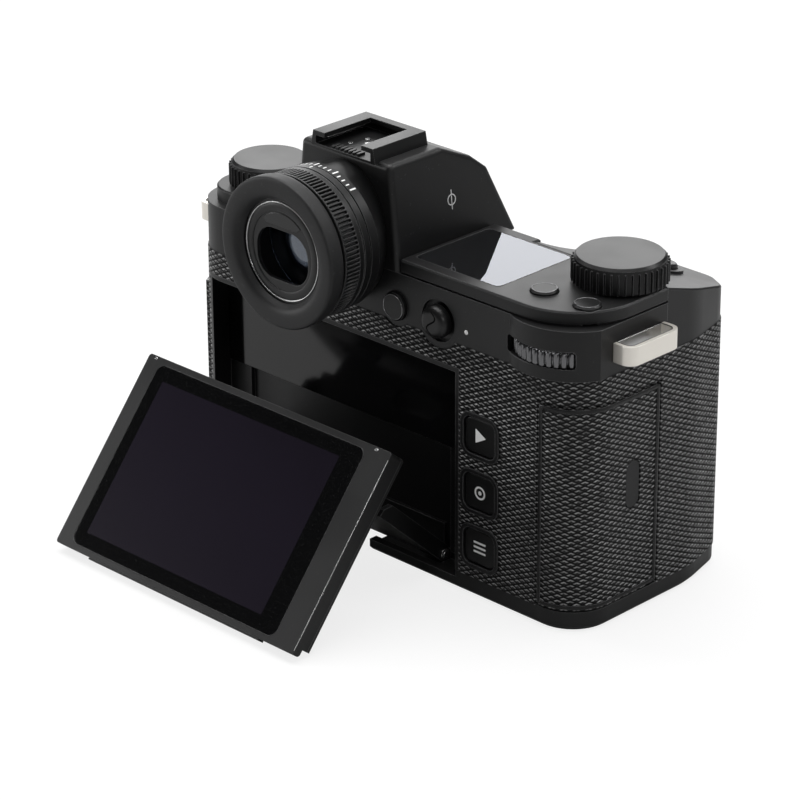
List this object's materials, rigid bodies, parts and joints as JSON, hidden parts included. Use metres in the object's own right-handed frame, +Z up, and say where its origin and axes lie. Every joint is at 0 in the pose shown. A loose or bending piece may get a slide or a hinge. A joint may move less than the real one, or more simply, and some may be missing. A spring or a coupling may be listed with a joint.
{
  "type": "mirrorless camera",
  "caption": "Mirrorless camera body with grip, viewfinder hump, hot shoe, top dials, joystick, card and battery doors and a rear screen on a fold-out arm.",
  "frame": {"origin": "mouth of the tripod socket, on the base, below the lens axis", "axes": "+X across the body, with the grip on the -X side; -Y towards the subject, +Y towards the viewer; +Z up"},
  "size_m": [0.1448, 0.1179, 0.1081],
  "materials": {
    "satin_black_metal": "satin",
    "leatherette": "textured",
    "black_rubber": "matte",
    "silver_metal": "satin",
    "champagne_metal": "satin",
    "chromed_ring": "polished",
    "black_anodised": "satin",
    "black_plastic": "matte",
    "gloss_black": "gloss",
    "screen_glass": "polished",
    "lens_glass": "polished",
    "display_panel": "satin",
    "circuit_board": "satin",
    "sensor_silicon": "gloss",
    "brass": "satin"
  },
  "bodies": {
    "camera_body": {"base_plate": "satin_black_metal", "rear_shell": "satin_black_metal", "front_shell": "satin_black_metal", "top_cover": "satin_black_metal", "top_plate": "satin_black_metal", "left_top_plate": "satin_black_metal", "grip_top": "satin_black_metal", "viewfinder_hump": "satin_black_metal", "hot_shoe": "black_anodised", "hot_shoe_spring": "silver_metal", "rear_leatherette": "leatherette", "front_leatherette": "leatherette", "lens_mount_ring": "chromed_ring", "mount_contact_block": "brass", "image_sensor": "sensor_silicon", "sensor_frame": "black_anodised", "shutter_unit": "black_plastic", "main_board": "circuit_board", "battery_chamber": "black_plastic", "card_slot_unit": "silver_metal", "connector_block": "black_plastic", "strap_lugs": "champagne_metal", "tripod_bush": "silver_metal", "eyepiece_barrel": "black_anodised", "eyecup": "black_rubber", "eyepiece_lens": "lens_glass", "eyepiece_bezel": "black_plastic", "evf_display": "display_panel", "top_display_window": "screen_glass", "top_display_panel": "display_panel", "arm_bracket": "black_anodised", "lower_hinge_pins": "silver_metal", "hinge_clips": "silver_metal", "recess_panel": "gloss_black"},
    "right_dial": {"right_dial": "black_anodised"},
    "left_dial": {"left_dial": "black_anodised"},
    "thumbwheel": {"thumbwheel": "black_anodised"},
    "shutter_button": {"shutter_button": "black_anodised"},
    "top_button_inner": {"top_button_inner": "black_anodised"},
    "top_button_outer": {"top_button_outer": "black_anodised"},
    "rear_button": {"rear_button": "black_anodised"},
    "joystick_gimbal": {"joystick_gimbal": "black_anodised"},
    "joystick_cap": {"joystick_cap": "black_anodised"},
    "play_key": {"play_key": "black_plastic"},
    "fn_key": {"fn_key": "black_plastic"},
    "menu_key": {"menu_key": "black_plastic"},
    "dioptre_ring": {"dioptre_ring": "black_anodised"},
    "battery": {"battery": "black_plastic"},
    "battery_lever": {"battery_lever": "black_plastic"},
    "card_door": {"card_door": "leatherette"},
    "card_door_slider": {"card_door_slider": "black_plastic"},
    "connector_door": {"connector_door": "leatherette"},
    "lens_release_button": {"lens_release_button": "black_anodised"},
    "lens_lock_pin": {"lens_lock_pin": "silver_metal"},
    "arm": {"screen_arm": "black_anodised", "upper_hinge_pin": "silver_metal"},
    "screen": {"screen_frame": "black_plastic", "screen_glass": "screen_glass", "screen_back_cover": "black_plastic", "screen_bracket": "black_anodised"}
  },
  "joints": [
    {"name": "screen_arm_hinge", "type": "hinge", "parent": "camera_body", "child": "arm", "pos_m": [0.0064, 0.0118, 0.0046], "axis": [-1, 0, 0], "range_deg": [-47.5, 20]},
    {"name": "screen_tilt_hinge", "type": "hinge", "parent": "arm", "child": "screen", "pos_m": [0.0064, 0.04264, 0.03164], "axis": [-1, 0, 0], "range_deg": [-36.6, 86.9]},
    {"name": "right_dial_turn", "type": "hinge", "parent": "camera_body", "child": "right_dial", "pos_m": [-0.0652, -0.0098, 0.085], "axis": [0, 0, 1], "continuous": true},
    {"name": "left_dial_turn", "type": "hinge", "parent": "camera_body", "child": "left_dial", "pos_m": [0.042, 0.0023, 0.085], "axis": [0, 0, 1], "continuous": true},
    {"name": "thumbwheel_turn", "type": "hinge", "parent": "camera_body", "child": "thumbwheel", "pos_m": [-0.06291, 0.0067, 0.0708], "axis": [0, 0, 1], "continuous": true},
    {"name": "dioptre_turn", "type": "hinge", "parent": "camera_body", "child": "dioptre_ring", "pos_m": [0, 0.0295, 0.085], "axis": [0, 1, 0], "range_deg": [-40, 40]},
    {"name": "shutter_press", "type": "slide", "parent": "camera_body", "child": "shutter_button", "axis": [0, 0.3124, -0.9499], "range_m": [0, 0.0012], "stiffness_N_per_m": 500, "springref_m": -0.0004},
    {"name": "top_button_inner_press", "type": "slide", "parent": "camera_body", "child": "top_button_inner", "axis": [0, 0, -1], "range_m": [0, 0.0006], "stiffness_N_per_m": 500, "springref_m": -0.0004},
    {"name": "top_button_outer_press", "type": "slide", "parent": "camera_body", "child": "top_button_outer", "axis": [0, 0, -1], "range_m": [0, 0.0006], "stiffness_N_per_m": 500, "springref_m": -0.0004},
    {"name": "rear_button_press", "type": "slide", "parent": "camera_body", "child": "rear_button", "axis": [0, -1, 0], "range_m": [0, 0.0006], "stiffness_N_per_m": 500, "springref_m": -0.0004},
    {"name": "play_key_press", "type": "slide", "parent": "camera_body", "child": "play_key", "axis": [0, -1, 0], "range_m": [0, 0.0006], "stiffness_N_per_m": 500, "springref_m": -0.0004},
    {"name": "fn_key_press", "type": "slide", "parent": "camera_body", "child": "fn_key", "axis": [0, -1, 0], "range_m": [0, 0.0006], "stiffness_N_per_m": 500, "springref_m": -0.0004},
    {"name": "menu_key_press", "type": "slide", "parent": "camera_body", "child": "menu_key", "axis": [0, -1, 0], "range_m": [0, 0.0006], "stiffness_N_per_m": 500, "springref_m": -0.0004},
    {"name": "joystick_up_down", "type": "hinge", "parent": "camera_body", "child": "joystick_gimbal", "pos_m": [-0.0311, 0.0133, 0.0697], "axis": [1, 0, 0], "range_deg": [-8, 8], "stiffness_Nm_per_rad": 0.01},
    {"name": "joystick_left_right", "type": "hinge", "parent": "joystick_gimbal", "child": "joystick_cap", "pos_m": [-0.0311, 0.0133, 0.0697], "axis": [0, 0, 1], "range_deg": [-8, 8], "stiffness_Nm_per_rad": 0.01},
    {"name": "battery_slide", "type": "slide", "parent": "camera_body", "child": "battery", "axis": [0, 0, -1], "range_m": [0, 0.05]},
    {"name": "battery_lever_turn", "type": "hinge", "parent": "camera_body", "child": "battery_lever", "pos_m": [-0.038, -0.006, 0.001], "axis": [0, 0, -1], "range_deg": [0, 60], "stiffness_Nm_per_rad": 0.005, "springref_deg": -11.46},
    {"name": "card_door_slide", "type": "slide", "parent": "camera_body", "child": "card_door_slider", "axis": [0, 1, 0], "range_m": [0, 0.004]},
    {"name": "card_door_hinge", "type": "hinge", "parent": "card_door_slider", "child": "card_door", "pos_m": [-0.0752, -0.0103, 0.032], "axis": [0, 0, 1], "range_deg": [0, 90]},
    {"name": "connector_door_hinge", "type": "hinge", "parent": "camera_body", "child": "connector_door", "pos_m": [0.0549, -0.0078, 0.033], "axis": [0, 0, -1], "range_deg": [0, 95]},
    {"name": "lens_release_press", "type": "slide", "parent": "camera_body", "child": "lens_release_button", "axis": [0, 1, 0], "range_m": [0, 0.001], "stiffness_N_per_m": 500, "springref_m": -0.0004},
    {"name": "lens_lock_slide", "type": "slide", "parent": "camera_body", "child": "lens_lock_pin", "axis": [0, 1, 0], "range_m": [0, 0.001]}
  ],
  "couplings": [
    {"joint": "screen_tilt_hinge", "follows": "screen_arm_hinge", "ratio": -1.8274},
    {"joint": "lens_lock_slide", "follows": "lens_release_press", "ratio": 1}
  ]
}
